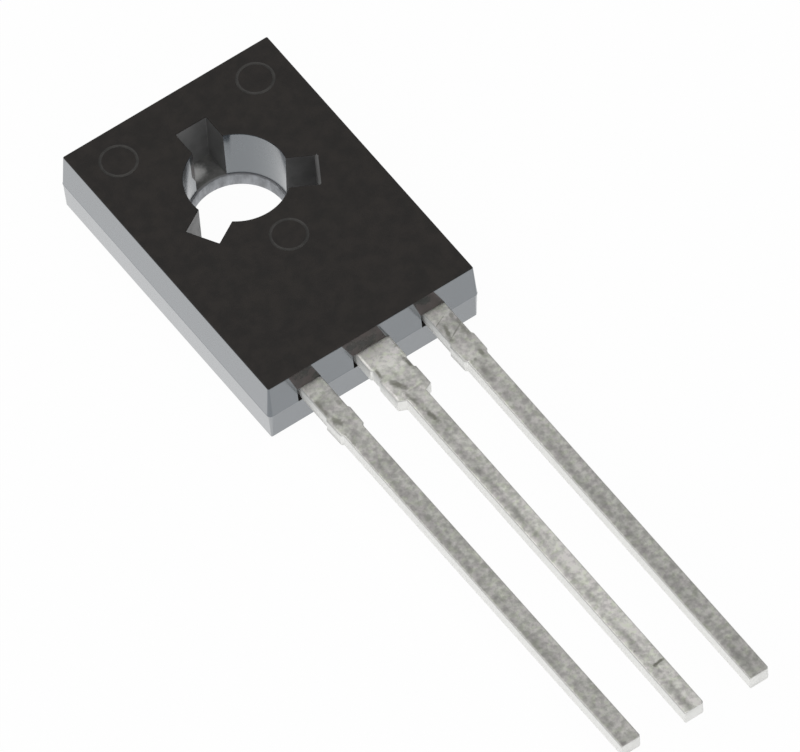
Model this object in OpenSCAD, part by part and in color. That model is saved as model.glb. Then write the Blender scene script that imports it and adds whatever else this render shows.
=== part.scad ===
// Three-lead power transistor in a flat moulded package with a screw hole.
// It lies on its mounting face: +Z points out of the front face and the leads run towards -Y.
// The origin is the centre of the screw hole, on the mounting face.

/* [Moulded body] */
// Width of the body at its parting line
body_w = 7.65; // [7.4:0.05:7.8]
// Length of the body at its parting line
body_l = 10.9; // [10.7:0.05:11.1]
// Thickness of the body
body_t = 2.4; // [2.4:0.05:2.8]
// Height of the parting line above the mounting face
parting_z = 1.1; // [1:0.05:1.3]
// Draft of the side walls, in degrees
draft_angle = 4; // [2:0.5:6]
// Radius of the upright corners at the parting line, more than the draft takes off them
corner_r = 0.14; // [0.13:0.01:0.3]
// Distance from the screw hole's centre to the body's top edge
hole_to_top = 3.85; // [3.7:0.05:4.2]
// Diameter of the screw hole in the moulding, at the front face
hole_d = 3.22; // [3.2:0.01:3.4]
// Draft of the wall of that hole, in degrees
hole_draft = 1.5; // [1:0.1:2]

/* [Clamp pin notches] */
// Number of notches that the mould's clamp pins leave round the hole
notch_count = 3; // [2:1:4]
// Width of a notch
notch_w = 1.1; // [0.8:0.05:1.3]
// Distance from the hole's centre to a notch's outer wall
notch_reach = 2.4; // [2.1:0.05:2.5]

/* [Ejector pin marks] */
// Diameter of an ejector pin mark
mark_d = 1.08; // [0.8:0.02:1.4]
// Width of the fine groove round an ejector pin mark
mark_line = 0.06; // [0.04:0.01:0.1]
// Depth of that groove
mark_depth = 0.03; // [0.02:0.01:0.06]
// Sideways distance from the hole to the two upper marks
mark_side = 2.52; // [2.2:0.01:2.7]
// Distance from the hole up to the two upper marks
mark_up = 2.68; // [2.5:0.01:2.8]
// Distance from the hole down to the lower mark
mark_down = 2.7; // [2.5:0.05:3.2]

/* [Collector plate] */
// Thickness of the metal strip that the plate and all the leads are stamped from
strip_t = 0.5; // [0.45:0.01:0.6]
// Width of the plate
plate_w = 5.6; // [5.2:0.1:6.2]
// Distance from the hole's centre to the plate's top edge
plate_up = 2.95; // [2.8:0.05:3.2]
// Distance from the hole's centre to the plate's lower edge
plate_down = 4.85; // [4.7:0.05:5]
// Corner radius of the plate
plate_corner = 0.4; // [0.3:0.05:0.8]
// Width of the step coined round the plate's underside, which the moulding grips
coin_w = 0.2; // [0.1:0.05:0.3]
// Height of that step
coin_h = 0.2; // [0.1:0.05:0.25]
// Diameter of the screw hole in the plate
plate_hole_d = 3.0; // [2.9:0.05:3.1]

/* [Leads] */
// Distance between the centres of neighbouring leads
lead_pitch = 2.25; // [2.15:0.05:2.35]
// Width of a lead
lead_w = 0.7; // [0.65:0.01:0.85]
// Length of the middle lead outside the body
lead_l = 16.35; // [14.5:0.05:16.6]
// How much further the trimmed ends reach from one lead to the next
trim_slant = 0.14; // [0:0.02:0.2]
// Size of the corner that the trimming pulls off each lead's end, on the +X side
trim_clip = 0.08; // [0.02:0.01:0.15]
// Width of the outer leads where they leave the body
exit_w = 0.76; // [0.7:0.01:0.8]
// Width of the middle lead's shoulder
shoulder_w = 1.22; // [1.1:0.01:1.35]
// Length of that shoulder outside the body, with its taper
shoulder_l = 2.2; // [2.1:0.05:2.6]
// Length of the taper from the shoulder to the lead
shoulder_taper = 0.12; // [0.05:0.01:0.4]
// Distance from the body to the trimmed tie bar
tie_from = 1.3; // [1.2:0.05:1.5]
// Length of lead that the trimmed tie bar covered
tie_l = 0.8; // [0.6:0.05:0.9]
// How far a trimmed stub stands out at each side of an outer lead
stub_out = 0.06; // [0.02:0.01:0.1]
// Length of each shallow waist in the shoulder, just before the tie bar
waist_l = 0.45; // [0.3:0.05:0.6]
// Depth of a waist
waist_in = 0.09; // [0.04:0.01:0.12]
// How much nearer the body the waist on the -X side lies
waist_skew = 0.16; // [0:0.02:0.2]
// Gap on the -X side of each lead in its recess in the body's end face
relief_gap = 0.13; // [0.08:0.01:0.2]
// Gap above a lead in that recess
relief_top = 0.05; // [0.03:0.01:0.1]
// Depth of that recess
relief_depth = 0.25; // [0.1:0.05:0.4]

/* [Collector neck] */
// Inner radius of the two bends between the plate and the middle lead
bend_r = 0.25; // [0.2:0.05:0.35]
// Slope of the neck between the bends, in degrees
neck_angle = 50; // [45:1:60]

/* [Bonding posts] */
// Width of the bonding post inside the body at the end of each outer lead
post_w = 1.5; // [1.2:0.05:1.6]
// Length of a bonding post
post_l = 1.3; // [1:0.05:1.4]
// Length of lead between the body's end face and the post
post_stem = 0.6; // [0.5:0.05:0.8]
// Size of the clipped corners of a post
post_clip = 0.25; // [0.1:0.05:0.4]

/* [Chip and wires] */
// Width and length of the silicon chip
die_w = 1.9; // [1.4:0.05:2.2]
// Thickness of the chip
die_t = 0.25; // [0.2:0.01:0.35]
// Distance from the hole's centre down to the chip's centre
die_down = 3.25; // [3.1:0.05:3.4]
// Thickness of the solder under the chip
solder_t = 0.05; // [0.03:0.01:0.08]
// Width of the solder that shows round the chip
solder_fillet = 0.1; // [0.05:0.01:0.2]
// Diameter of the bond wires
wire_d = 0.2; // [0.12:0.01:0.25]
// Rise of a bond wire's arc above the straight line between its ends
wire_rise = 0.72; // [0.6:0.02:0.8]
// Length of a bond wire's flattened foot
foot_l = 0.5; // [0.4:0.02:0.6]
// Width of a bond wire's foot
foot_w = 0.3; // [0.26:0.01:0.4]
// Thickness of a bond wire's foot
foot_t = 0.14; // [0.12:0.01:0.18]
// Sideways distance from the chip's centre to each of its two wire pads
pad_side = 0.45; // [0.35:0.05:0.6]
// Distance from the chip's centre down to its wire pads
pad_down = 0.4; // [0.2:0.05:0.5]

/* [Hidden] */

$fn = 64;
EPS = 0.01;      // overlap of shapes that are joined into one solid
OVER = 1;        // how far a cutting shape runs past what it cuts
BEND_STEPS = 10; // flats in each bend of the neck
WIRE_SEAT = 0.7; // share of a foot's thickness at which its wire's centre line starts

// Lead numbers, from left to right as the front face is seen with the leads down
EMITTER = -1;
COLLECTOR = 0;
BASE = 1;

body_top = hole_to_top;
body_end = hole_to_top - body_l;
body_mid = (body_top + body_end) / 2;
front_h = body_t - parting_z;

lead_top = parting_z + strip_t;
die_z = strip_t + solder_t;
die_top = die_z + die_t;
plate_end = -plate_down;
coin_end = plate_end + coin_w;

// The neck: two bends with a straight slope between them
bend_outer = bend_r + strip_t;
bend_rise = (bend_r + bend_outer) * (1 - cos(neck_angle));
slope_l = (parting_z - bend_rise) / sin(neck_angle);
neck_run = (bend_r + bend_outer) * sin(neck_angle) + slope_l * cos(neck_angle);
neck_end = coin_end - neck_run;

post_start = body_end + post_stem;

// Points of an arc from angle a to angle b
function arc_points(centre, r, a, b) = [
  for (i = [0:BEND_STEPS]) let (angle = a + (b - a) * i / BEND_STEPS)
    centre + r * [cos(angle), sin(angle)]
];

function lead_x(number) = number * lead_pitch;
function lead_end(number) = body_end - lead_l - number * trim_slant;

// Rounded rectangle with exact arcs, centred on the origin
module rounded_rect(w, l, r) {
  square([w - 2 * r, l], center = true);
  square([w, l - 2 * r], center = true);
  for (sx = [-1, 1], sy = [-1, 1]) {
    translate([sx * (w / 2 - r), sy * (l / 2 - r)]) circle(r);
  }
}

// Outline made of its right-hand points, from the lowest up, and their mirror images
module symmetric_polygon(right) {
  left = [for (i = [len(right) - 1:-1:0]) [-right[i].x, right[i].y]];
  polygon(concat(right, left));
}

// A profile in X and Z, pushed along Y
module along_y(length) {
  rotate([90, 0, 0]) linear_extrude(length, center = true) children();
}

// A profile in Y and Z, pushed along X
module along_x(length) {
  rotate([90, 0, 90]) linear_extrude(length, center = true) children();
}

// One half of the moulding: widest at the parting line, with drafted sides all round
module drafted_half(height) {
  inset = height * tan(draft_angle);
  along_y(body_l - 2 * corner_r) trapezium(body_w, inset, height);
  along_x(body_w - 2 * corner_r) trapezium(body_l, inset, height);
  for (sx = [-1, 1], sy = [-1, 1]) {
    translate([sx * (body_w / 2 - corner_r), sy * (body_l / 2 - corner_r), 0])
      cylinder(h = height, r1 = corner_r, r2 = corner_r - inset);
  }
}

module trapezium(width, inset, height) {
  half = width / 2;
  polygon([[-half, 0], [half, 0], [half - inset, height], [inset - half, height]]);
}

module body_block() {
  translate([0, body_mid, parting_z]) {
    drafted_half(front_h);
    mirror([0, 0, 1]) drafted_half(parting_z);
  }
}

// Drafted screw hole above the plate, with the notches of the pins that clamp the plate in the mould
module clamp_hole() {
  rim_r = hole_d / 2;
  seat_r = rim_r - (body_t - strip_t) * tan(hole_draft);
  over_r = rim_r + OVER * tan(hole_draft);
  over_z = body_t + OVER;
  rotate_extrude()
    polygon([[0, -OVER], [seat_r, -OVER], [seat_r, strip_t], [over_r, over_z], [0, over_z]]);
  for (i = [0:notch_count - 1]) {
    rotate(90 + i * 360 / notch_count)
      translate([0, -notch_w / 2, strip_t])
        cube([notch_reach, notch_w, body_t]);
  }
}

module mark_groove() {
  translate([0, 0, body_t - mark_depth]) difference() {
    cylinder(h = OVER, d = mark_d + mark_line);
    translate([0, 0, -OVER]) cylinder(h = 3 * OVER, d = mark_d - mark_line);
  }
}

module ejector_marks() {
  for (place = [[-mark_side, mark_up], [mark_side, mark_up], [0, -mark_down]]) {
    translate(place) mark_groove();
  }
}

// Shallow recess that a lead leaves the end face through, with the lead against its +X side
module lead_relief(number, width) {
  translate([lead_x(number) - width / 2 - relief_gap, body_end - OVER, parting_z])
    cube([width + relief_gap, OVER + relief_depth, strip_t + relief_top]);
}

module mould_body() {
  color("#2d2d2b") difference() {
    body_block();
    clamp_hole();
    ejector_marks();
    lead_relief(EMITTER, exit_w);
    lead_relief(COLLECTOR, shoulder_w);
    lead_relief(BASE, exit_w);
    collector_frame();
    emitter_lead();
    base_lead();
    die_attach();
    die();
    emitter_wire();
    base_wire();
  }
}

// Plate outline, smaller by the inset on every side
module plate_outline(inset) {
  middle = (plate_up - plate_down) / 2;
  translate([0, middle])
    rounded_rect(plate_w - 2 * inset, plate_up + plate_down - 2 * inset, plate_corner - inset / 2);
}

module plate() {
  difference() {
    union() {
      translate([0, 0, coin_h]) linear_extrude(strip_t - coin_h) plate_outline(0);
      linear_extrude(coin_h + EPS) plate_outline(coin_w);
    }
    translate([0, 0, -OVER]) cylinder(h = strip_t + 2 * OVER, d = plate_hole_d);
  }
}

// Side view of the neck, from the plate up to the level of the leads, as one bent strip
module neck_profile() {
  low_bend = [coin_end, bend_outer];
  high_bend = [neck_end, parting_z - bend_r];
  steep = -90 - neck_angle;
  upper_side = concat(
    [[plate_end + 2 * coin_w, strip_t]],
    arc_points(low_bend, bend_r, -90, steep),
    arc_points(high_bend, bend_outer, 90 - neck_angle, 90),
    [[neck_end - coin_w, lead_top]]
  );
  lower_side = concat(
    [[neck_end - coin_w, parting_z]],
    arc_points(high_bend, bend_r, 90, 90 - neck_angle),
    arc_points(low_bend, bend_outer, steep, -90),
    [[plate_end + 2 * coin_w, 0]]
  );
  polygon(concat(upper_side, lower_side));
}

module neck() {
  difference() {
    along_x(shoulder_w) neck_profile();
    translate([-shoulder_w, coin_end - strip_t, -OVER])
      cube([2 * shoulder_w, strip_t + coin_w, OVER + coin_h]);
  }
}

// The corner that the trimming takes off the end of a lead's plan
module trimmed_corner(number) {
  translate([lead_w / 2, lead_end(number)]) circle(r = trim_clip, $fn = 4);
}

// Plan of the middle lead, with the shoulder, its two waists and the trimmed tie bar
module shoulder_plan() {
  half = shoulder_w / 2;
  tie = body_end - tie_from;
  taper_end = body_end - shoulder_l;
  right = [
    [lead_w / 2, lead_end(COLLECTOR)],
    [lead_w / 2, taper_end],
    [half, taper_end + shoulder_taper],
    [half, neck_end]
  ];
  difference() {
    symmetric_polygon(right);
    trimmed_corner(COLLECTOR);
    translate([half - waist_in, tie]) square([OVER, waist_l]);
    translate([waist_in - half - OVER, tie + waist_skew]) square([OVER, waist_l]);
  }
}

module collector_frame() {
  color("#a9aba3") {
    plate();
    neck();
    translate([0, 0, parting_z]) linear_extrude(strip_t) shoulder_plan();
  }
}

// Plan of an outer lead, about its own centre line
module outer_plan(number) {
  half = exit_w / 2;
  tie = body_end - tie_from;
  right = [
    [lead_w / 2, lead_end(number)],
    [lead_w / 2, tie - tie_l],
    [half + stub_out, tie - tie_l],
    [half + stub_out, tie],
    [half, tie],
    [half, post_start + EPS]
  ];
  difference() {
    symmetric_polygon(right);
    trimmed_corner(number);
  }
}

// Plan of a bonding post, with its two inner corners clipped
module post_plan() {
  half = post_w / 2;
  top = post_start + post_l;
  polygon([
    [-half, post_start],
    [half, post_start],
    [half, top - post_clip],
    [half - post_clip, top],
    [post_clip - half, top],
    [-half, top - post_clip]
  ]);
}

module outer_lead(number) {
  translate([lead_x(number), 0, parting_z]) linear_extrude(strip_t) {
    outer_plan(number);
    post_plan();
  }
}

module emitter_lead() {
  color("#a9aba3") outer_lead(EMITTER);
}

module base_lead() {
  color("#a9aba3") outer_lead(BASE);
}

// Flat square layer, centred over the chip's place on the plate
module chip_layer(width, bottom, thickness) {
  translate([-width / 2, -die_down - width / 2, bottom]) cube([width, width, thickness]);
}

module die_attach() {
  color("#8c8c88") chip_layer(die_w + 2 * solder_fillet, strip_t, solder_t);
}

module die() {
  color("#5b6470") chip_layer(die_w, die_z, die_t);
}

module foot(level) {
  translate([-foot_l / 2, -foot_w / 2, level]) cube([foot_l, foot_w, foot_t]);
}

// Bond wire from a pad on the chip to a post: one arc in an upright plane, and two feet
module bond_wire(number) {
  pad = [number * pad_side, -die_down - pad_down];
  post = [lead_x(number), post_start + post_l / 2];
  run = norm(post - pad);
  climb = lead_top - die_top;
  heading = atan2(post.y - pad.y, post.x - pad.x);
  chord = norm([run, climb]);
  radius = (chord * chord / 4 + wire_rise * wire_rise) / (2 * wire_rise);
  half_angle = asin(chord / (2 * radius));
  tilt = atan2(climb, run);
  centre_drop = radius - wire_rise;
  centre_along = run / 2 + centre_drop * sin(tilt);
  centre_level = climb / 2 - centre_drop * cos(tilt);
  translate([pad.x, pad.y, die_top]) rotate(heading) {
    foot(0);
    translate([run, 0, 0]) foot(climb);
    translate([centre_along, 0, centre_level + foot_t * WIRE_SEAT])
      rotate([90, 0, 0])
        rotate(90 + tilt - half_angle)
          rotate_extrude(angle = 2 * half_angle) translate([radius, 0]) circle(d = wire_d);
  }
}

module emitter_wire() {
  color("#c9ccd0") bond_wire(EMITTER);
}

module base_wire() {
  color("#c9ccd0") bond_wire(BASE);
}

mould_body();
collector_frame();
emitter_lead();
base_lead();
die_attach();
die();
emitter_wire();
base_wire();
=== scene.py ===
import math
from contextlib import contextmanager

import bmesh
import bpy
from mathutils import Matrix, Vector


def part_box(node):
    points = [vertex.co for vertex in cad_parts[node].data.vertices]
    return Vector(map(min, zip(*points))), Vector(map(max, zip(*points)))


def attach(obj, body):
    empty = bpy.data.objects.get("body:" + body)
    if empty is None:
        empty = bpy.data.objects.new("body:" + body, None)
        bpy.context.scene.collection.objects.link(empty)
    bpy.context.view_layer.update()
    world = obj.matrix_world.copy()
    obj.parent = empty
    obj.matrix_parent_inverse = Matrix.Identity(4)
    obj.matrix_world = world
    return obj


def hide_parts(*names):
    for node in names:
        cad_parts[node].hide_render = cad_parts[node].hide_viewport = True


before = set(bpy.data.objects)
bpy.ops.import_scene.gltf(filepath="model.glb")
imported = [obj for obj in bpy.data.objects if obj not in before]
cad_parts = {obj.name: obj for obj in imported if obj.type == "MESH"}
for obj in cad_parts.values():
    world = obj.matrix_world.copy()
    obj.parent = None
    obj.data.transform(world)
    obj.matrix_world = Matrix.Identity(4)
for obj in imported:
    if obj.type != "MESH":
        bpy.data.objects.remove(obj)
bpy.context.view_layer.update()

# Sizes are in metres. MM turns a size in millimetres into metres.
MM = 0.001
# TINY is how far apart two points may lie and still count as one.
TINY = 0.001 * MM
# OVER is how far a cutter reaches past what it cuts.
OVER = 1.0 * MM

# The camera
CAMERA_AIM = Vector((0.147, -8.161, 1.2)) * MM
CAMERA_DISTANCE = 653.62 * MM
CAMERA_AZIMUTH = math.radians(-31.962)
CAMERA_ELEVATION = math.radians(54.225)
CAMERA_ROLL = math.radians(-4.016)
CAMERA_LENS = 990
CAMERA_SENSOR = 36

# The moulding
BODY_LOW, BODY_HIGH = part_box("mould_body")
BODY_CENTRE = (BODY_LOW + BODY_HIGH) / 2
PARTING_Z = 1.1 * MM
DRAFT = math.radians(4)
CORNER_R = 0.14 * MM
SHARP_CORNER_R = 0.05 * MM
FLASH_H = 0.008 * MM
FLASH_W = 0.025 * MM
FRONT_RIM = 0.045 * MM
BACK_RIM = 0.03 * MM
HOLE_RIM = 0.03 * MM
HOLE_FRONT_R = 1.61 * MM
HOLE_SEAT_R = 1.56 * MM
NOTCH_W = 1.1 * MM
NOTCH_REACH = 2.4 * MM
NOTCH_CORNER = 0.02 * MM
NOTCH_ANGLES = [math.radians(a) for a in (90, 210, 330)]
# The notch whose end has a worn edge at the front face
WORN_NOTCH = NOTCH_ANGLES[2]
WORN_EDGE = 0.06 * MM
# The grooves of the ejector pins, each a sunk part of a torus
MARK_R = 0.56 * MM
MARK_LINE_R = 0.08 * MM
MARK_LINE_DEPTH = 0.016 * MM
MARK_PLACES = [(-2.48 * MM, 2.62 * MM), (2.55 * MM, 2.68 * MM), (0.04 * MM, -2.66 * MM)]

# The stamped strip
STRIP_T = 0.5 * MM
LEAD_TOP = PARTING_Z + STRIP_T
PLATE_LOW = Vector((-2.8, -4.85, 0)) * MM
PLATE_HIGH = Vector((2.8, 2.95, 0.5)) * MM
PLATE_CORNER = 0.4 * MM
PLATE_HOLE_R = 1.5 * MM
PLATE_RIM = 0.03 * MM
COIN_W = 0.2 * MM
COIN_H = 0.2 * MM
BEND_R = 0.25 * MM
NECK_ANGLE = math.radians(50)
BEND_STEPS = 6
COIN_END = PLATE_LOW.y + COIN_W
BEND_RISE = (2 * BEND_R + STRIP_T) * (1 - math.cos(NECK_ANGLE))
SLOPE_L = (PARTING_Z - BEND_RISE) / math.sin(NECK_ANGLE)
NECK_END = COIN_END - (2 * BEND_R + STRIP_T) * math.sin(NECK_ANGLE) - SLOPE_L * math.cos(NECK_ANGLE)
LEAD_PITCH = 2.25 * MM
EXIT_W = 0.76 * MM
SHOULDER_W = 1.22 * MM
RELIEF_GAP = 0.13 * MM
RELIEF_TOP = 0.05 * MM
RELIEF_DEPTH = 0.25 * MM
# The painted reflection of each lead in the end wall above it: how far its sides lean, and from
# where to where it runs
REFLECTION_LEAN = 0.38
REFLECTION_SPANS = [(-2.70 * MM, -1.89 * MM), (-0.77 * MM, 0.50 * MM), (1.82 * MM, 2.57 * MM)]
EDGE_ROLL = 0.05 * MM
TIP_RIM = 0.02 * MM

# A face counts as front or back when its normal is this close to the Z axis.
FACE_TILT = 0.5
# A face counts as part of a wall when its normal is this close to the wall's.
WALL_TILT = 0.9

# The numbers of the moulding's finishes, and of the strip's, in their order on the piece
EPOXY_FACE, EPOXY_WALL, EPOXY_BORE, EPOXY_NOTCH, EPOXY_PAINTED_REFLECTION, EPOXY_GROOVE = range(6)
STRIP_TIN, STRIP_PUNCHED, STRIP_SHADED = range(3)

# Colours
BLACK = (0.0, 0.0, 0.0)
WHITE = (1.0, 1.0, 1.0)
# The dark spots on the tin: tarnish, and painted shade where the leads' edges are dented
TARNISH_AND_SHADE = (0.26, 0.26, 0.22)
# The cut sides of the leads: bare tin, made lighter as painted light
LIT_CUT_TIN = (0.93, 0.93, 0.91)
ROLLED_TIN = (0.66, 0.66, 0.64)
PALE_TIN = (1.0, 1.0, 0.93)
WARM_TIN = (1.0, 0.965, 0.94)
GREEN_TIN = (0.98, 1.0, 0.88)
LEDGE_TIN = (0.36, 0.36, 0.37)
# The painted pool of light on the plate in one notch
LIT_SPOT_TIN = (0.88, 0.88, 0.87)

# Painted light on the notches' walls: their lightness at the plate, and from the height
# NOTCH_BLACK_Z up
NOTCH_PAINTED_LIGHT = (0.19, 0.085)
NOTCH_BLACK_Z = 2.3 * MM

# How far the darker band on a lead lies left of its middle, in millimetres
BAND_OFFSET = 0.12

# Lightness of the tin along each lead: y in millimetres, and lightness
COLLECTOR_TONES = [
    (-23.4, 0.84), (-17, 0.93), (-14, 0.80), (-10.7, 0.70),
    (-9.4, 0.72), (-8.4, 0.76), (-7.5, 0.92),
]
EMITTER_TONES = [
    (-23.3, 0.66), (-16, 0.64), (-12.5, 0.60), (-10, 0.66),
    (-8.4, 0.68), (-7.8, 0.57), (-7.3, 0.84),
]
BASE_TONES = [
    (-23.5, 0.58), (-16, 0.60), (-10, 0.68),
    (-8.8, 0.72), (-7.7, 0.54), (-7.25, 0.86),
]

# Dark spots on the tin, partly stains and partly painted shade of shallow dents at the leads' edges
# near the body, in millimetres: x, y, half width, half length, turn in degrees, strength.
# The two thinnest of the base lead are scratches.
COLLECTOR_STAINS_AND_SHADE = [
    (-0.48, -7.95, 0.10, 0.33, 0, 0.9),
    (0.49, -8.13, 0.09, 0.32, 4, 0.9),
    (-0.24, -8.65, 0.11, 0.34, 30, 0.9),
    (-0.20, -9.35, 0.09, 0.55, 8, 0.7),
    (-0.08, -10.15, 0.10, 0.42, 5, 0.85),
    (0.10, -9.02, 0.05, 0.36, 90, 0.35),
    (-0.05, -7.52, 0.06, 0.06, 0, 0.4),
    (0.54, -7.43, 0.09, 0.06, 0, 0.5),
    (0.10, -21.44, 0.06, 0.24, 98, 1.0),
    (-0.02, -21.46, 0.07, 0.09, 0, 0.9),
    (-0.24, -20.7, 0.06, 0.06, 0, 0.7),
]
EMITTER_STAINS_AND_SHADE = [
    (-2.56, -7.95, 0.10, 0.50, 0, 0.7),
    (-2.45, -8.65, 0.13, 0.36, 20, 0.75),
    (-2.03, -8.15, 0.06, 0.25, 0, 0.4),
    (-2.26, -7.68, 0.10, 0.12, 0, 0.4),
    (-2.55, -9.15, 0.08, 0.10, 0, 0.5),
    (-2.54, -9.62, 0.06, 0.10, 0, 0.4),
]
BASE_STAINS_AND_SHADE = [
    (2.05, -7.95, 0.08, 0.36, -14, 0.85),
    (2.53, -8.10, 0.08, 0.36, 0, 0.7),
    (2.50, -7.50, 0.08, 0.12, -30, 0.6),
    (2.03, -7.51, 0.025, 0.42, -65, 0.7),
    (2.21, -8.09, 0.025, 0.58, -61, 0.7),
    (2.44, -9.12, 0.08, 0.15, 0, 0.7),
    (2.15, -9.25, 0.06, 0.06, 0, 0.5),
    (2.28, -9.72, 0.30, 0.30, 0, 0.25),
    (2.25, -21.03, 0.07, 0.09, 0, 0.6),
]

# A painted pool of light on the plate in the notch towards +Y, set in its painted shade, with the
# same six values as a spot on the tin
LIT_SPOT = (-0.25, 2.08, 0.48, 0.36, 0, 0.95)
# How wide the soft start of the painted shade is, past the ledge round the hole, in millimetres
LEDGE_BLUR = 0.05

# The studio
FLOOR_SIZE = 2.0
FLOOR_Z = -0.02 * MM
FLOOR_GLOW = 0.97
FRONT_LIGHT = 0.22
BACK_LIGHT = 0.50
KEY_LIGHT = 1.6
KEY_SPREAD = 100
KEY_FROM = (-0.55, -0.45, 0.9)


# Modelling tools


def only(piece):
    """Makes a piece the only selected object, and the active one."""
    bpy.ops.object.select_all(action="DESELECT")
    piece.select_set(True)
    bpy.context.view_layer.objects.active = piece


def settle(name):
    """Names the object that was just added, and moves its place, turn and scale into its mesh."""
    piece = bpy.context.object
    only(piece)
    bpy.ops.object.transform_apply(location=True, rotation=True, scale=True)
    piece.name = name
    piece.data.name = name
    return piece


def add_block(name, low, high, turn=0.0):
    """A box between two corners, turned about the Z axis of the screw hole."""
    middle = Matrix.Rotation(turn, 3, "Z") @ ((low + high) / 2)
    bpy.ops.mesh.primitive_cube_add(
        size=1, location=middle, rotation=(0, 0, turn), scale=high - low
    )
    return settle(name)


def add_cone(name, radius_low, radius_high, low, high):
    """An upright round cutter on the screw hole's axis."""
    bpy.ops.mesh.primitive_cone_add(
        vertices=96,
        radius1=radius_low,
        radius2=radius_high,
        depth=high - low,
        location=(0, 0, (low + high) / 2),
    )
    return settle(name)


@contextmanager
def editing(piece):
    """Edit mode on one piece."""
    only(piece)
    bpy.ops.object.mode_set(mode="EDIT")
    yield
    bpy.ops.object.mode_set(mode="OBJECT")


def pick(piece, kind, test):
    """In edit mode, selects only the vertices, edges or faces that pass a test."""
    bpy.ops.mesh.select_mode(type=kind)
    bpy.ops.mesh.select_all(action="DESELECT")
    mesh = bmesh.from_edit_mesh(piece.data)
    parts = {"VERT": mesh.verts, "EDGE": mesh.edges, "FACE": mesh.faces}[kind]
    for part in parts:
        part.select_set(bool(test(part)))
    mesh.select_flush_mode()
    bmesh.update_edit_mesh(piece.data)


def level_with(z):
    """A test for vertices, edges and faces that lie in a level plane."""
    return lambda part: all(abs(v.co.z - z) < TINY for v in getattr(part, "verts", [part]))


def flatten(piece, z):
    """In edit mode, brings the vertices that lie about level with z to it exactly."""
    pick(piece, "VERT", level_with(z))
    bpy.ops.transform.resize(value=(1, 1, 0), center_override=(0, 0, z))


def apply_modifier(piece, kind, **settings):
    """Adds a modifier of this kind with its settings, and makes its result the piece's mesh."""
    only(piece)
    modifier = piece.modifiers.new(kind.lower(), kind)
    for setting, value in settings.items():
        setattr(modifier, setting, value)
    bpy.ops.object.modifier_apply(modifier=modifier.name)


def carve(piece, cutter, operation="DIFFERENCE", keep=False):
    """Cuts a piece with a cutter, or joins the two, and removes the cutter."""
    apply_modifier(piece, "BOOLEAN", object=cutter, operation=operation, solver="EXACT")
    if not keep:
        bpy.data.objects.remove(cutter, do_unlink=True)


def shade(piece, angle=math.radians(30)):
    """Smooth shading, with edges over an angle sharp and flat faces flat beside rounded ones."""
    only(piece)
    bpy.ops.object.shade_smooth_by_angle(angle=angle)
    with editing(piece):
        bpy.ops.mesh.select_mode(type="EDGE")
        bpy.ops.mesh.select_all(action="DESELECT")
        bpy.ops.mesh.edges_select_sharp(sharpness=angle)
        bpy.ops.mesh.mark_sharp()
    apply_modifier(piece, "WEIGHTED_NORMAL", keep_sharp=True)


# The moulding


def drafted_block():
    """The moulding before it is cut: drafted both ways from a parting line with a thin flash."""
    flash = Vector((FLASH_H, FLASH_H, 0))
    block = add_block("moulding", BODY_LOW + flash, BODY_HIGH - flash)
    wide = BODY_HIGH.x - BODY_LOW.x
    long = BODY_HIGH.y - BODY_LOW.y
    with editing(block):
        pick(block, "EDGE", lambda e: abs(e.verts[0].co.z - e.verts[1].co.z) > PARTING_Z)
        bpy.ops.mesh.bevel(offset=CORNER_R, segments=6)
        bpy.ops.mesh.select_all(action="SELECT")
        bpy.ops.mesh.bisect(plane_co=(0, 0, PARTING_Z), plane_no=(0, 0, 1))
        for z in (BODY_LOW.z, BODY_HIGH.z):
            inset = 2 * (abs(z - PARTING_Z) * math.tan(DRAFT) - FLASH_H)
            pick(block, "VERT", level_with(z))
            bpy.ops.transform.resize(
                value=(1 - inset / wide, 1 - inset / long, 1), center_override=BODY_CENTRE
            )
            sharpen_corners(block, z, inset / 2)
        pick(block, "EDGE", level_with(PARTING_Z))
        bpy.ops.mesh.bevel(offset=FLASH_W, segments=2)
        pick(block, "VERT", lambda v: abs(v.co.z - PARTING_Z) < FLASH_W / 3)
        bpy.ops.transform.resize(
            value=(1 + 2 * FLASH_H / wide, 1 + 2 * FLASH_H / long, 1), center_override=BODY_CENTRE
        )
        pick(block, "EDGE", level_with(BODY_HIGH.z))
        bpy.ops.mesh.bevel(offset=FRONT_RIM, segments=3)
        pick(block, "EDGE", level_with(BODY_LOW.z))
        bpy.ops.mesh.bevel(offset=BACK_RIM, segments=2)
    return block


def sharpen_corners(block, z, inset):
    """Tightens the four round corners at one face, where the draft leaves them almost sharp."""
    half = (BODY_HIGH - BODY_LOW) / 2
    share = SHARP_CORNER_R / CORNER_R
    for sx in (-1, 1):
        for sy in (-1, 1):
            corner = Vector((
                BODY_CENTRE.x + sx * (half.x - FLASH_H - inset),
                BODY_CENTRE.y + sy * (half.y - FLASH_H - inset),
                z,
            ))
            pick(block, "VERT", lambda v: (v.co - corner).length < 1.1 * CORNER_R)
            bpy.ops.transform.resize(value=(share, share, 1), center_override=corner)


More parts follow.
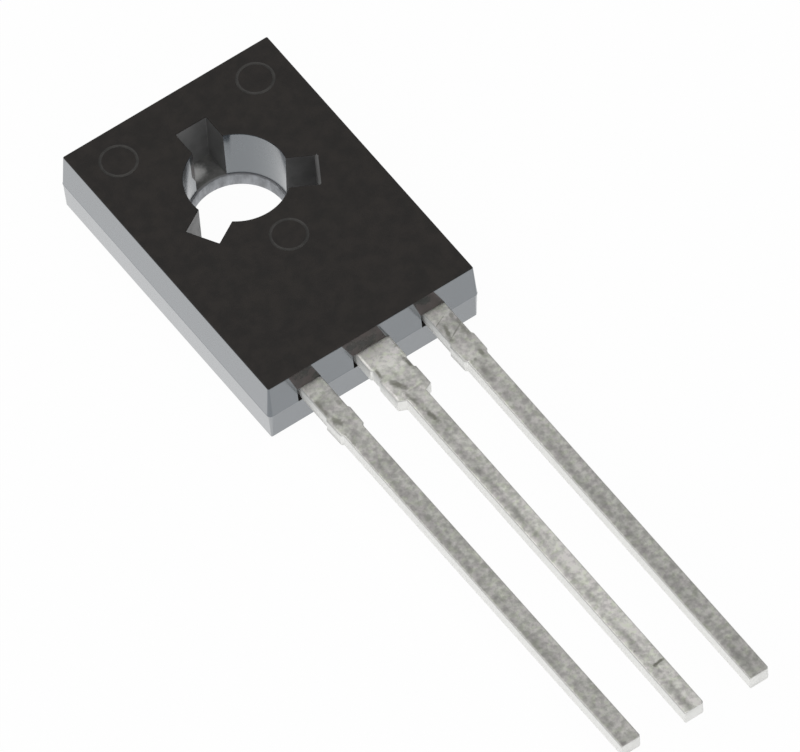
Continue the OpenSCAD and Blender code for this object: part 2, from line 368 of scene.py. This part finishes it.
def cut_screw_hole(block):
    """The drafted hole above the plate, and the three notches of the mould's clamp pins."""
    slope = (HOLE_FRONT_R - HOLE_SEAT_R) / (BODY_HIGH.z - STRIP_T)
    low = -OVER
    high = BODY_HIGH.z + OVER
    radius_low = HOLE_SEAT_R + (low - STRIP_T) * slope
    radius_high = HOLE_SEAT_R + (high - STRIP_T) * slope
    carve(block, add_cone("hole_cutter", radius_low, radius_high, low, high))
    for angle in NOTCH_ANGLES:
        notch = add_block(
            "notch_cutter",
            Vector((0, -NOTCH_W / 2, STRIP_T / 2)),
            Vector((NOTCH_REACH, NOTCH_W / 2, high)),
            turn=angle,
        )
        with editing(notch):
            pick(notch, "EDGE", lambda e: abs(e.verts[0].co.z - e.verts[1].co.z) > STRIP_T)
            bpy.ops.mesh.bevel(offset=NOTCH_CORNER, segments=3)
            if angle == WORN_NOTCH:
                widen_mouth(notch, angle, high)
        carve(block, notch)
    with editing(block):
        rim = level_with(BODY_HIGH.z)
        near = NOTCH_REACH + 2 * WORN_EDGE
        pick(block, "EDGE", lambda e: rim(e) and all(v.co.xy.length < near for v in e.verts))
        bpy.ops.mesh.bevel(offset=HOLE_RIM, segments=2)


def widen_mouth(notch, angle, high):
    """Slopes the top of a notch cutter's end outwards, for a worn edge at the front face."""
    start = BODY_HIGH.z - WORN_EDGE
    outwards = Matrix.Rotation(angle, 3, "Z") @ Vector((high - start, 0, 0))
    bpy.ops.mesh.select_all(action="SELECT")
    bpy.ops.mesh.bisect(plane_co=(0, 0, start), plane_no=(0, 0, 1))
    end = NOTCH_REACH - NOTCH_CORNER
    pick(notch, "VERT", lambda v: level_with(high)(v) and v.co.xy.length > end)
    bpy.ops.transform.translate(value=outwards)


def cut_pin_marks(block):
    """The fine round grooves that the mould's ejector pins leave in the front face."""
    for x, y in MARK_PLACES:
        bpy.ops.mesh.primitive_torus_add(
            major_radius=MARK_R,
            minor_radius=MARK_LINE_R,
            major_segments=72,
            minor_segments=24,
            location=(x, y, BODY_HIGH.z + MARK_LINE_R - MARK_LINE_DEPTH),
        )
        carve(block, settle("mark_cutter"))


def cut_lead_recess(block, x, width):
    """The shallow recess that a lead comes out of, with a gap on the lead's -X side only."""
    low = Vector((x - width / 2 - RELIEF_GAP, BODY_LOW.y - OVER, PARTING_Z - FLASH_W / 3))
    high = Vector((x + width / 2 - EDGE_ROLL / 2, BODY_LOW.y + RELIEF_DEPTH, LEAD_TOP + RELIEF_TOP))
    carve(block, add_block("recess_cutter", low, high))


def in_end_wall(face):
    """Whether a face is part of the end wall that the leads come out of, above the parting line."""
    return face.normal.y < -WALL_TILT and face.calc_center_median().z > PARTING_Z


def make_moulding(metal):
    """The moulding, with room cut for each piece of metal."""
    block = drafted_block()
    with editing(block):
        flatten(block, 0)
    cut_screw_hole(block)
    cut_pin_marks(block)
    cut_lead_recess(block, -LEAD_PITCH, EXIT_W)
    cut_lead_recess(block, 0, SHOULDER_W)
    cut_lead_recess(block, LEAD_PITCH, EXIT_W)
    for piece in metal:
        carve(block, piece, keep=True)
    with editing(block):
        bpy.ops.mesh.select_all(action="SELECT")
        bpy.ops.mesh.remove_doubles(threshold=TINY)
        # Splits the end wall where the painted reflection of each lead begins and ends
        for x in sum(REFLECTION_SPANS, ()):
            pick(block, "FACE", in_end_wall)
            bpy.ops.mesh.bisect(plane_co=(x, 0, LEAD_TOP), plane_no=(1, 0, REFLECTION_LEAN))
    shade(block)
    return block


# The stamped metal


def reshape_end(x, old, new):
    """Changes the selected end of a lead from one pair of sides to another."""
    scale = (new[1] - new[0]) / (old[1] - old[0])
    bpy.ops.transform.resize(value=(scale, 1, 1), center_override=(x + sum(old) / 2, 0, 0))
    bpy.ops.transform.translate(value=((sum(new) - sum(old)) / 2, 0, 0))


def draw_lead(name, x, stations):
    """A flat lead with rolled edges, from its tip on. A station is y, left side and right side."""
    tip, *rest = [tuple(value * MM for value in station) for station in stations]
    low = Vector((x + tip[1], tip[0], PARTING_Z))
    high = Vector((x + tip[2], rest[0][0], LEAD_TOP))
    lead = add_block(name, low, high)
    with editing(lead):
        pick(lead, "EDGE", lambda e: runs_along_y(e) and level_with(LEAD_TOP)(e))
        bpy.ops.mesh.bevel(offset=EDGE_ROLL, segments=4)
        pick(lead, "EDGE", lambda e: runs_along_y(e) and level_with(PARTING_Z)(e))
        bpy.ops.mesh.bevel(offset=EDGE_ROLL / 2, segments=2)
        pick(lead, "FACE", lambda f: f.normal.y > WALL_TILT)
        reshape_end(x, tip[1:], rest[0][1:])
        for before, after in zip(rest, rest[1:]):
            bpy.ops.mesh.extrude_region_move(
                TRANSFORM_OT_translate={"value": (0, after[0] - before[0], 0)}
            )
            reshape_end(x, before[1:], after[1:])
        pick(lead, "EDGE", lambda e: all(abs(v.co.y - tip[0]) < TINY for v in e.verts))
        bpy.ops.mesh.bevel(offset=TIP_RIM, segments=2)
    return lead


def runs_along_y(edge):
    """Whether an edge runs the lead's way."""
    way = edge.verts[0].co - edge.verts[1].co
    return abs(way.y) > 100 * (abs(way.x) + abs(way.z))


def outer_lead(name, x, tip, lean):
    """An outer lead with its tie-bar stubs, and the bonding post that the moulding hides."""
    return draw_lead(name, x, [
        (tip, lean - 0.35, lean + 0.27),
        (tip + 0.03, lean - 0.35, lean + 0.32),
        (tip + 0.08, lean - 0.35, lean + 0.35),
        (-9.18, -0.35, 0.35),
        (-9.12, -0.42, 0.42),
        (-8.42, -0.44, 0.43),
        (-8.34, -0.38, 0.38),
        (-6.5, -0.38, 0.38),
        (-6.45, -0.38, 0.38),
        (-6.44, -0.75, 0.75),
        (-5.4, -0.75, 0.75),
        (-5.15, -0.5, 0.5),
    ])


def collector_strip():
    """The middle lead, its shoulder and bent neck, and the plate that the chip sits on."""
    strip = draw_lead("collector_strip", 0, [
        (-23.4, -0.35, 0.27),
        (-23.37, -0.35, 0.32),
        (-23.32, -0.35, 0.35),
        (-9.25, -0.35, 0.35),
        (-9.13, -0.61, 0.61),
        (-8.37, -0.61, 0.61),
        (-8.33, -0.61, 0.56),
        (-8.21, -0.61, 0.56),
        (-8.17, -0.55, 0.56),
        (-7.92, -0.55, 0.56),
        (-7.88, -0.55, 0.61),
        (-7.76, -0.55, 0.61),
        (-7.72, -0.61, 0.61),
        (NECK_END / MM, -0.61, 0.61),
    ])
    slope = Vector((0, math.cos(NECK_ANGLE), -math.sin(NECK_ANGLE))) * SLOPE_L

    def at_neck(face):
        return face.normal.y > WALL_TILT and abs(face.calc_center_median().y - NECK_END) < TINY

    with editing(strip):
        pick(strip, "FACE", at_neck)
        bend_strip(NECK_ANGLE, NECK_END, PARTING_Z - BEND_R)
        bpy.ops.mesh.extrude_region_move(TRANSFORM_OT_translate={"value": slope})
        bend_strip(-NECK_ANGLE, COIN_END, BEND_R + STRIP_T)
        bpy.ops.mesh.extrude_region_move(TRANSFORM_OT_translate={"value": (0, 2 * COIN_W, 0)})
        flatten(strip, 0)
        flatten(strip, STRIP_T)
    carve(strip, add_block(
        "coin_cutter",
        Vector((-SHOULDER_W, PLATE_LOW.y - OVER / 2, -OVER)),
        Vector((SHOULDER_W, COIN_END, COIN_H)),
    ))
    carve(strip, make_plate(), operation="UNION")
    shade(strip)
    return strip


def bend_strip(angle, y, z):
    """Bends the selected end of the strip about a line across it."""
    bpy.ops.mesh.spin(steps=BEND_STEPS, angle=angle, center=(0, y, z), axis=(1, 0, 0))


def make_plate():
    """The plate, with round corners, a coined step round its underside and the screw hole."""
    plate = add_block("plate", PLATE_LOW + Vector((0, 0, COIN_H)), PLATE_HIGH)
    with editing(plate):
        pick(plate, "EDGE", lambda e: abs(e.verts[0].co.z - e.verts[1].co.z) > COIN_H)
        bpy.ops.mesh.bevel(offset=PLATE_CORNER, segments=6)
        pick(plate, "FACE", lambda f: f.normal.z < -WALL_TILT)
        bpy.ops.mesh.inset(thickness=COIN_W)
        bpy.ops.mesh.extrude_region_move(TRANSFORM_OT_translate={"value": (0, 0, -COIN_H)})
        pick(plate, "EDGE", level_with(PLATE_LOW.z))
        bpy.ops.mesh.bevel(offset=PLATE_RIM, segments=2)
    carve(plate, add_cone("plate_hole_cutter", PLATE_HOLE_R, PLATE_HOLE_R, -OVER, OVER))

    def on_hole_rim(edge):
        on_hole = all(abs(v.co.xy.length - PLATE_HOLE_R) < TINY for v in edge.verts)
        return on_hole and (level_with(0)(edge) or level_with(STRIP_T)(edge))

    with editing(plate):
        pick(plate, "EDGE", on_hole_rim)
        bpy.ops.mesh.bevel(offset=PLATE_RIM, segments=2)
        flatten(plate, 0)
        flatten(plate, STRIP_T)
    return plate


# The finishes


class Finish:
    """A node material in the making. Patterns are measured in millimetres of the piece."""

    def __init__(self, name):
        self.material = bpy.data.materials.new(name)
        self.material.use_nodes = True
        self.shader = self.material.node_tree.nodes["Principled BSDF"]
        place = self.add("ShaderNodeTexCoord").outputs["Object"]
        scale = (1 / MM, 1 / MM, 1 / MM)
        self.place = self.add("ShaderNodeMapping", Vector=place, Scale=scale).outputs[0]

    def add(self, kind, settings=None, **inputs):
        """A node, with its inputs set to values or joined to the outputs of other nodes."""
        node = self.material.node_tree.nodes.new(kind)
        for setting, value in (settings or {}).items():
            setattr(node, setting, value)
        self.join(node, **inputs)
        return node

    def join(self, node, **inputs):
        """Sets or joins a node's inputs, which are named with _ for a space."""
        for name, value in inputs.items():
            self.feed(node.inputs[name.replace("_", " ")], value)

    def feed(self, socket, value):
        """Sets an input to a value, or joins it to the output of a node."""
        if isinstance(value, bpy.types.NodeSocket):
            self.material.node_tree.links.new(value, socket)
        else:
            socket.default_value = value

    def noise(self, scale, detail=3, roughness=0.5, stretch=(1, 1, 1)):
        """Cloudy noise from 0 to 1, with about this many blotches to the millimetre."""
        place = self.add("ShaderNodeMapping", Vector=self.place, Scale=stretch).outputs[0]
        noise = self.add(
            "ShaderNodeTexNoise", Vector=place, Scale=scale, Detail=detail, Roughness=roughness
        )
        return noise.outputs[0]

    def span(self, value, low, high, to_low=0, to_high=1):
        """Stretches the part of a value between two limits to two new ones."""
        node = self.add("ShaderNodeMapRange", {"interpolation_type": "SMOOTHSTEP"}, Value=value)
        self.join(node, From_Min=low, From_Max=high, To_Min=to_low, To_Max=to_high)
        return node.outputs[0]

    def blend(self, factor, first, second):
        """Mixes two colours, each a plain colour or the output of a node."""
        node = self.add("ShaderNodeMix", {"data_type": "RGBA"})
        share, *colours = (node.inputs[index] for index in (0, 6, 7))
        self.feed(share, factor)
        for socket, colour in zip(colours, (first, second)):
            self.feed(socket, (*colour, 1) if isinstance(colour, tuple) else colour)
        return node.outputs[2]

    def mottle(self, pattern, dark, light, low=0.3, high=0.7):
        """A pattern from one colour to another, over the part of it between two limits."""
        return self.blend(self.span(pattern, low, high), dark, light)

    def coordinates(self):
        """The place across and along the leads, and the height, in millimetres."""
        parts = self.add("ShaderNodeSeparateXYZ", Vector=self.place)
        return parts.outputs["X"], parts.outputs["Y"], parts.outputs["Z"]

    def steps(self, value, stops):
        """Follows a value through pairs of value and result, from the lowest up."""
        (low, first), *rest = stops
        result = first
        for high, level in rest:
            result = self.sum(result, self.span(value, low, high, 0, level - first))
            low, first = high, level
        return result

    def facing_up(self):
        """How nearly the surface faces straight up or down, from 0 to 1."""
        normal = self.add("ShaderNodeTexCoord").outputs["Normal"]
        parts = self.add("ShaderNodeSeparateXYZ", Vector=normal)
        return self.sum(parts.outputs["Z"], 0.0, "ABSOLUTE")

    def soft_spot(self, x, y, half_w, half_l, turn, strength, rag=0.35):
        """A soft spot on the flat faces, in millimetres, whose edge is ragged by up to rag."""
        place = self.add(
            "ShaderNodeMapping",
            {"vector_type": "TEXTURE"},
            Vector=self.place,
            Location=(x, y, 0),
            Rotation=(0, 0, math.radians(turn)),
            Scale=(half_w, half_l, 1 / TINY),
        )
        ragged = self.span(self.noise(6, detail=4, roughness=0.6), 0.3, 0.7, -rag, rag)
        reach = self.sum(self.length(place.outputs[0]), ragged)
        return self.span(reach, 0.2, 1.2, strength, 0)

    def length(self, vector):
        """How long a vector is."""
        node = self.add("ShaderNodeVectorMath", {"operation": "LENGTH"})
        self.feed(node.inputs[0], vector)
        return node.outputs["Value"]

    def sum(self, first, second, operation="ADD"):
        """Adds two values, or works on them in another way."""
        node = self.add("ShaderNodeMath", {"operation": operation})
        for socket, value in zip(node.inputs, (first, second)):
            self.feed(socket, value)
        return node.outputs[0]

    def bump(self, height, depth):
        """Raises and sinks the surface by up to a depth in metres."""
        return self.add("ShaderNodeBump", Height=height, Distance=depth, Strength=1).outputs[0]


def epoxy_face():
    """The matt black of the front and back faces, from the spark-eroded faces of the mould."""
    finish = Finish("epoxy_face")
    cloud = finish.noise(2.2, detail=4, roughness=0.6)
    grain = finish.noise(22, detail=2)
    finish.join(
        finish.shader,
        Base_Color=finish.mottle(cloud, (0.0165, 0.0146, 0.0132), (0.0250, 0.0212, 0.0186)),
        Roughness=finish.span(grain, 0.3, 0.7, 0.42, 0.54),
        Specular_IOR_Level=0.3,
        Normal=finish.bump(grain, 0.004 * MM),
    )
    return finish.material


def epoxy_wall(name, roughness, coat_roughness):
    """The smoother, shiny black of the drafted walls, which slide out of the mould, a little
    lighter and bluer than the faces as painted light.
    """
    finish = Finish(name)
    cloud = finish.noise(1.6, detail=4, roughness=0.6)
    grain = finish.noise(9, detail=3)
    finish.join(
        finish.shader,
        # A base colour lighter than the faces': painted light for the brightness the walls show
        Base_Color=finish.mottle(cloud, (0.030, 0.035, 0.042), (0.042, 0.047, 0.055)),
        Roughness=finish.span(cloud, 0.3, 0.7, roughness - 0.04, roughness + 0.04),
        Specular_Tint=(0.74, 0.88, 1.0, 1.0),
        IOR=1.9,
        Coat_Weight=1.0,
        Coat_IOR=1.9,
        Coat_Roughness=coat_roughness,
        Normal=finish.bump(grain, 0.0015 * MM),
    )
    return finish.material


def epoxy_groove():
    """The greyer black in the fine grooves of the ejector pins."""
    finish = Finish("epoxy_groove")
    cloud = finish.noise(3, detail=3, roughness=0.6)
    finish.join(
        finish.shader,
        Base_Color=finish.mottle(cloud, (0.034, 0.033, 0.031), (0.054, 0.052, 0.049)),
        Roughness=finish.span(cloud, 0.3, 0.7, 0.5, 0.6),
        Specular_IOR_Level=0.3,
        Normal=finish.bump(finish.noise(22, detail=2), 0.003 * MM),
    )
    return finish.material


def epoxy_notch():
    """The duller black of the notches, where the mould's clamp pins stood, greyer than the faces
    and greyer still lower down, as painted light.
    """
    finish = Finish("epoxy_notch")
    cloud = finish.noise(2, detail=4, roughness=0.6)
    height = finish.coordinates()[2]
    # Painted light: the walls' lightness rises from the top down to the plate
    light = finish.span(height, STRIP_T / MM, NOTCH_BLACK_Z / MM, *NOTCH_PAINTED_LIGHT)
    light = finish.sum(light, finish.span(cloud, 0.3, 0.7, 0.85, 1.15), "MULTIPLY")
    finish.join(
        finish.shader,
        Base_Color=finish.blend(light, BLACK, WHITE),
        Roughness=finish.span(cloud, 0.3, 0.7, 0.32, 0.42),
        IOR=1.7,
        Normal=finish.bump(finish.noise(8), 0.0008 * MM),
    )
    return finish.material


def painted_lead_reflection():
    """The dull, slightly brown painted reflection of the lead below it, on the end wall above each
    lead.
    """
    finish = Finish("painted_lead_reflection")
    cloud = finish.noise(1.6, detail=4, roughness=0.6)
    finish.join(
        finish.shader,
        Base_Color=finish.mottle(cloud, (0.028, 0.031, 0.030), (0.078, 0.062, 0.060), 0.35, 0.65),
        Roughness=finish.span(cloud, 0.3, 0.7, 0.22, 0.34),
        IOR=1.45,
        Normal=finish.bump(finish.noise(9), 0.0015 * MM),
    )
    return finish.material


def dull_tin(name, x, tones, band, stains_and_shade):
    """Dull tin plate on a lead whose middle is at x. Its flat faces are clouded, stained and
    darkened in spots with painted shade, with a darker band left of the middle, and its cut sides
    are clean and bright, made lighter still as painted light."""
    finish = Finish(name)
    across, along, _ = finish.coordinates()
    speckle = finish.noise(5.5, detail=4, roughness=0.62)
    cloud = finish.noise(1.4, detail=4, roughness=0.6, stretch=(1.4, 0.7, 1))
    light = finish.steps(along, tones)
    light = finish.sum(light, finish.span(speckle, 0.3, 0.7, 0.78, 1.22), "MULTIPLY")
    light = finish.sum(light, finish.span(cloud, 0.3, 0.7, 0.86, 1.12), "MULTIPLY")

    # The darker band, which is broken up in places and ends at the stubs
    offset = finish.sum(finish.sum(across, x - BAND_OFFSET, "SUBTRACT"), 0, "ABSOLUTE")
    worn = finish.span(finish.noise(2.2, detail=3), 0.3, 0.65, 0.3, 1)
    worn = finish.sum(worn, finish.steps(along, [(-9.8, 1), (-9.0, 0)]), "MULTIPLY")
    shadow = finish.sum(finish.span(offset, 0.03, 0.17, band, 0), worn, "MULTIPLY")
    light = finish.sum(light, finish.sum(1.0, shadow, "SUBTRACT"), "MULTIPLY")

    # A slight change of tint, warm here and green there, then the dark spots, partly stains and
    # partly painted shade
    warm = finish.mottle(finish.noise(3.1, detail=3), PALE_TIN, WARM_TIN, 0.35, 0.65)
    tint = finish.mottle(finish.noise(4.3, detail=3), warm, GREEN_TIN, 0.5, 0.65)
    colour = finish.blend(light, BLACK, tint)
    for soft_spot in stains_and_shade:
        colour = finish.blend(finish.soft_spot(*soft_spot), colour, TARNISH_AND_SHADE)

    # From the flat faces over the rolled edges to the cut sides, which are lightened with painted
    # light
    facing = finish.facing_up()
    flat = finish.span(facing, 0.75, 0.99)
    colour = finish.blend(flat, ROLLED_TIN, colour)
    colour = finish.blend(finish.span(facing, 0.05, 0.3), LIT_CUT_TIN, colour)
    duller = finish.sum(finish.steps(along, [(-9.2, 0.3), (-7.6, 0.0)]), flat, "MULTIPLY")
    roughness = finish.span(flat, 0, 1, 0.6, 0.4)
    finish.join(
        finish.shader,
        Base_Color=colour,
        Metallic=finish.sum(duller, 0.6),
        Roughness=finish.sum(finish.span(cloud, 0.35, 0.65, 0.10, 0.0), roughness),
        Normal=finish.bump(speckle, 0.004 * MM),
    )
    return finish.material


def punched_tin():
    """The duller, torn wall that the punch leaves in the plate's hole."""
    finish = Finish("punched_tin")
    tear = finish.noise(5, detail=4, roughness=0.6, stretch=(1, 1, 0.3))
    finish.join(
        finish.shader,
        Base_Color=finish.mottle(tear, (0.29, 0.30, 0.315), (0.47, 0.485, 0.51)),
        Metallic=0.8,
        Roughness=0.55,
        Normal=finish.bump(tear, 0.006 * MM),
    )
    return finish.material


def shaded_plate_tin():
    """The plate's front, darkened with painted shade in the notches, with a painted pool of light
    on one spot, and lighter round the hole.
    """
    finish = Finish("shaded_plate_tin")
    cloud = finish.noise(2.5, detail=4, roughness=0.6)
    level = finish.add("ShaderNodeVectorMath", {"operation": "MULTIPLY"})
    finish.feed(level.inputs[0], finish.place)
    finish.feed(level.inputs[1], (1, 1, 0))
    radius = finish.length(level.outputs[0])
    near_hole = finish.span(radius, HOLE_SEAT_R / MM, HOLE_SEAT_R / MM + LEDGE_BLUR, 1, 0)
    # Painted shade over the plate in the notches, and a painted pool of light on one spot
    painted_shade = finish.mottle(cloud, (0.14, 0.14, 0.14), (0.25, 0.25, 0.24))
    pool_of_light = finish.soft_spot(*LIT_SPOT, rag=0.1)
    finish.join(
        finish.shader,
        Base_Color=finish.blend(pool_of_light, finish.blend(near_hole, painted_shade, LEDGE_TIN), LIT_SPOT_TIN),
        Metallic=finish.span(pool_of_light, 0.0, 0.9, 0.5, 0.0),
        Roughness=0.45,
        Normal=finish.bump(cloud, 0.003 * MM),
    )
    return finish.material


def plain_finish(name, colour, metallic, roughness, grain_scale):
    """An even finish with a fine grain, for the parts sealed inside the moulding."""
    finish = Finish(name)
    grain = finish.noise(grain_scale)
    finish.join(
        finish.shader,
        Base_Color=finish.mottle(grain, tuple(0.85 * c for c in colour), colour),
        Metallic=metallic,
        Roughness=finish.span(grain, 0.3, 0.7, roughness - 0.05, roughness + 0.05),
        Normal=finish.bump(grain, 0.002 * MM),
    )
    return finish.material


def coat(piece, material):
    """Gives a whole piece one material."""
    for slot in piece.material_slots:
        slot.material = material
    if not piece.material_slots:
        piece.data.materials.append(material)


def coat_moulding(block):
    """Gives the moulding its six finishes, in the order of their numbers, and each face its own."""
    block.data.materials.clear()
    for material in (
        epoxy_face(),
        epoxy_wall("epoxy_wall", 0.16, 0.08),
        epoxy_wall("epoxy_bore", 0.26, 0.15),
        epoxy_notch(),
        painted_lead_reflection(),
        epoxy_groove(),
    ):
        block.data.materials.append(material)
    for face in block.data.polygons:
        face.material_index = moulding_finish(face.center, face.normal)


def coat_plate(plate):
    """Gives the plate the punched wall of its hole, and the front seen in the notches with its
    painted shade and pool of light.
    """
    plate.data.materials.append(punched_tin())
    plate.data.materials.append(shaded_plate_tin())
    for face in plate.data.polygons:
        corners = [plate.data.vertices[index].co for index in face.vertices]
        if max(corner.xy.length for corner in corners) < PLATE_HOLE_R + PLATE_RIM + TINY:
            face.material_index = STRIP_PUNCHED
        elif face.normal.z > WALL_TILT:
            at_front = all(abs(corner.z - STRIP_T) < TINY for corner in corners)
            face.material_index = STRIP_SHADED if at_front else STRIP_TIN


def moulding_finish(place, normal):
    """Which of the moulding's finishes a face has, from its middle and its direction."""
    below_front = place.z < BODY_HIGH.z - TINY
    reach = place.xy.length
    if place.z > BODY_HIGH.z - MARK_LINE_DEPTH and any(
        abs((place.xy - Vector(mark)).length - MARK_R) < MARK_LINE_R for mark in MARK_PLACES
    ):
        return EPOXY_GROOVE if below_front else EPOXY_FACE
    if below_front and HOLE_FRONT_R + HOLE_RIM < reach < NOTCH_REACH + 2 * WORN_EDGE:
        worn = reach > NOTCH_REACH and place.x > 0 > place.y
        return EPOXY_NOTCH if worn or place.z < BODY_HIGH.z - HOLE_RIM else EPOXY_FACE
    # The end wall above each lead takes the painted reflection of that lead
    across = place.x + REFLECTION_LEAN * (place.z - LEAD_TOP)
    above_lead = any(low < across < high for low, high in REFLECTION_SPANS)
    if normal.y < -WALL_TILT and place.z > LEAD_TOP + RELIEF_TOP and above_lead:
        return EPOXY_PAINTED_REFLECTION
    if abs(normal.z) > FACE_TILT:
        return EPOXY_FACE
    return EPOXY_BORE if reach < NOTCH_REACH else EPOXY_WALL


# The studio


def make_floor():
    """A wide white floor. It shows mostly as plain white, and keeps a soft shadow."""
    bpy.ops.mesh.primitive_plane_add(size=FLOOR_SIZE, location=(0, 0, FLOOR_Z))
    floor = settle("floor")
    material = bpy.data.materials.new("white_floor")
    material.use_nodes = True
    nodes, links = material.node_tree.nodes, material.node_tree.links
    matt = nodes["Principled BSDF"]
    matt.inputs["Base Color"].default_value = (0.95, 0.95, 0.95, 1)
    matt.inputs["Roughness"].default_value = 0.9
    matt.inputs["Specular IOR Level"].default_value = 0
    rays = nodes.new("ShaderNodeLightPath")
    share = nodes.new("ShaderNodeMath")
    share.operation = "MULTIPLY"
    share.inputs[1].default_value = FLOOR_GLOW
    links.new(rays.outputs["Is Camera Ray"], share.inputs[0])
    for ray in ("Is Glossy Ray", "Is Transmission Ray"):
        either = nodes.new("ShaderNodeMath")
        either.operation = "MAXIMUM"
        links.new(share.outputs[0], either.inputs[0])
        links.new(rays.outputs[ray], either.inputs[1])
        share = either
    white = nodes.new("ShaderNodeEmission")
    mix = nodes.new("ShaderNodeMixShader")
    links.new(share.outputs[0], mix.inputs[0])
    links.new(matt.outputs[0], mix.inputs[1])
    links.new(white.outputs[0], mix.inputs[2])
    links.new(mix.outputs[0], nodes["Material Output"].inputs["Surface"])
    floor.data.materials.append(material)
    return floor


def make_world():
    """White light from all round, weaker from the leads' end than from the plain one."""
    world = bpy.data.worlds.new("studio")
    world.use_nodes = True
    nodes, links = world.node_tree.nodes, world.node_tree.links
    background = nodes["Background"]
    background.inputs["Color"].default_value = (1, 1, 1, 1)
    direction = nodes.new("ShaderNodeTexCoord")
    parts = nodes.new("ShaderNodeSeparateXYZ")
    level = nodes.new("ShaderNodeMapRange")
    level.interpolation_type = "SMOOTHSTEP"
    level.inputs["From Min"].default_value = -0.5
    level.inputs["From Max"].default_value = 0.5
    level.inputs["To Min"].default_value = FRONT_LIGHT
    level.inputs["To Max"].default_value = BACK_LIGHT
    links.new(direction.outputs["Generated"], parts.inputs[0])
    links.new(parts.outputs["Y"], level.inputs["Value"])
    links.new(level.outputs[0], background.inputs["Strength"])
    bpy.context.scene.world = world


def add_sun(name, strength, spread, towards):
    """A soft lamp that shines from a far point in the given direction."""
    data = bpy.data.lights.new(name, "SUN")
    data.energy = strength
    data.angle = math.radians(spread)
    lamp = bpy.data.objects.new(name, data)
    lamp.rotation_euler = Vector(towards).to_track_quat("Z", "Y").to_euler()
    bpy.context.collection.objects.link(lamp)


def make_camera():
    """A long lens that looks down at the part from the leads' end, a little from its -X side."""
    flat = math.cos(CAMERA_ELEVATION)
    back = Vector((
        math.sin(CAMERA_AZIMUTH) * flat,
        -math.cos(CAMERA_AZIMUTH) * flat,
        math.sin(CAMERA_ELEVATION),
    ))
    data = bpy.data.cameras.new("camera")
    data.lens = CAMERA_LENS
    data.sensor_width = CAMERA_SENSOR
    data.clip_end = 10 * CAMERA_DISTANCE
    camera = bpy.data.objects.new("camera", data)
    turn = (-back).to_track_quat("-Z", "Y").to_matrix() @ Matrix.Rotation(CAMERA_ROLL, 3, "Z")
    camera.matrix_world = Matrix.Translation(CAMERA_AIM + back * CAMERA_DISTANCE) @ turn.to_4x4()
    bpy.context.collection.objects.link(camera)
    bpy.context.scene.camera = camera


emitter_pin = outer_lead("emitter_pin", -LEAD_PITCH, -23.26, lean=0.07)
base_pin = outer_lead("base_pin", LEAD_PITCH, -23.54, lean=0.0)
for pin in (emitter_pin, base_pin):
    shade(pin)
strip = collector_strip()
moulding = make_moulding([emitter_pin, base_pin, strip])

coat_moulding(moulding)
coat(strip, dull_tin("collector_tin", 0, COLLECTOR_TONES, 0.3, COLLECTOR_STAINS_AND_SHADE))
coat(emitter_pin, dull_tin("emitter_tin", -LEAD_PITCH / MM, EMITTER_TONES, 0.2, EMITTER_STAINS_AND_SHADE))
coat(base_pin, dull_tin("base_tin", LEAD_PITCH / MM, BASE_TONES, 0.2, BASE_STAINS_AND_SHADE))
coat_plate(strip)
for piece, node, slot in (
    (moulding, "mould_body", "epoxy"),
    (strip, "collector_frame", "tinned_frame"),
    (emitter_pin, "emitter_lead", "tinned_lead"),
    (base_pin, "base_lead", "tinned_lead"),
):
    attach(piece, "root")
    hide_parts(node)

coat(bpy.data.objects["die_attach"], plain_finish("solder", (0.50, 0.50, 0.50), 1.0, 0.5, 6))
coat(bpy.data.objects["die"], plain_finish("silicon", (0.22, 0.24, 0.28), 0.0, 0.25, 4))
bond_wire = plain_finish("bond_wire", (0.80, 0.81, 0.82), 1.0, 0.35, 30)
coat(bpy.data.objects["emitter_wire"], bond_wire)
coat(bpy.data.objects["base_wire"], bond_wire)

make_floor()
make_world()
add_sun("key_light", KEY_LIGHT, KEY_SPREAD, KEY_FROM)
make_camera()

bpy.context.scene.view_settings.view_transform = "Standard"
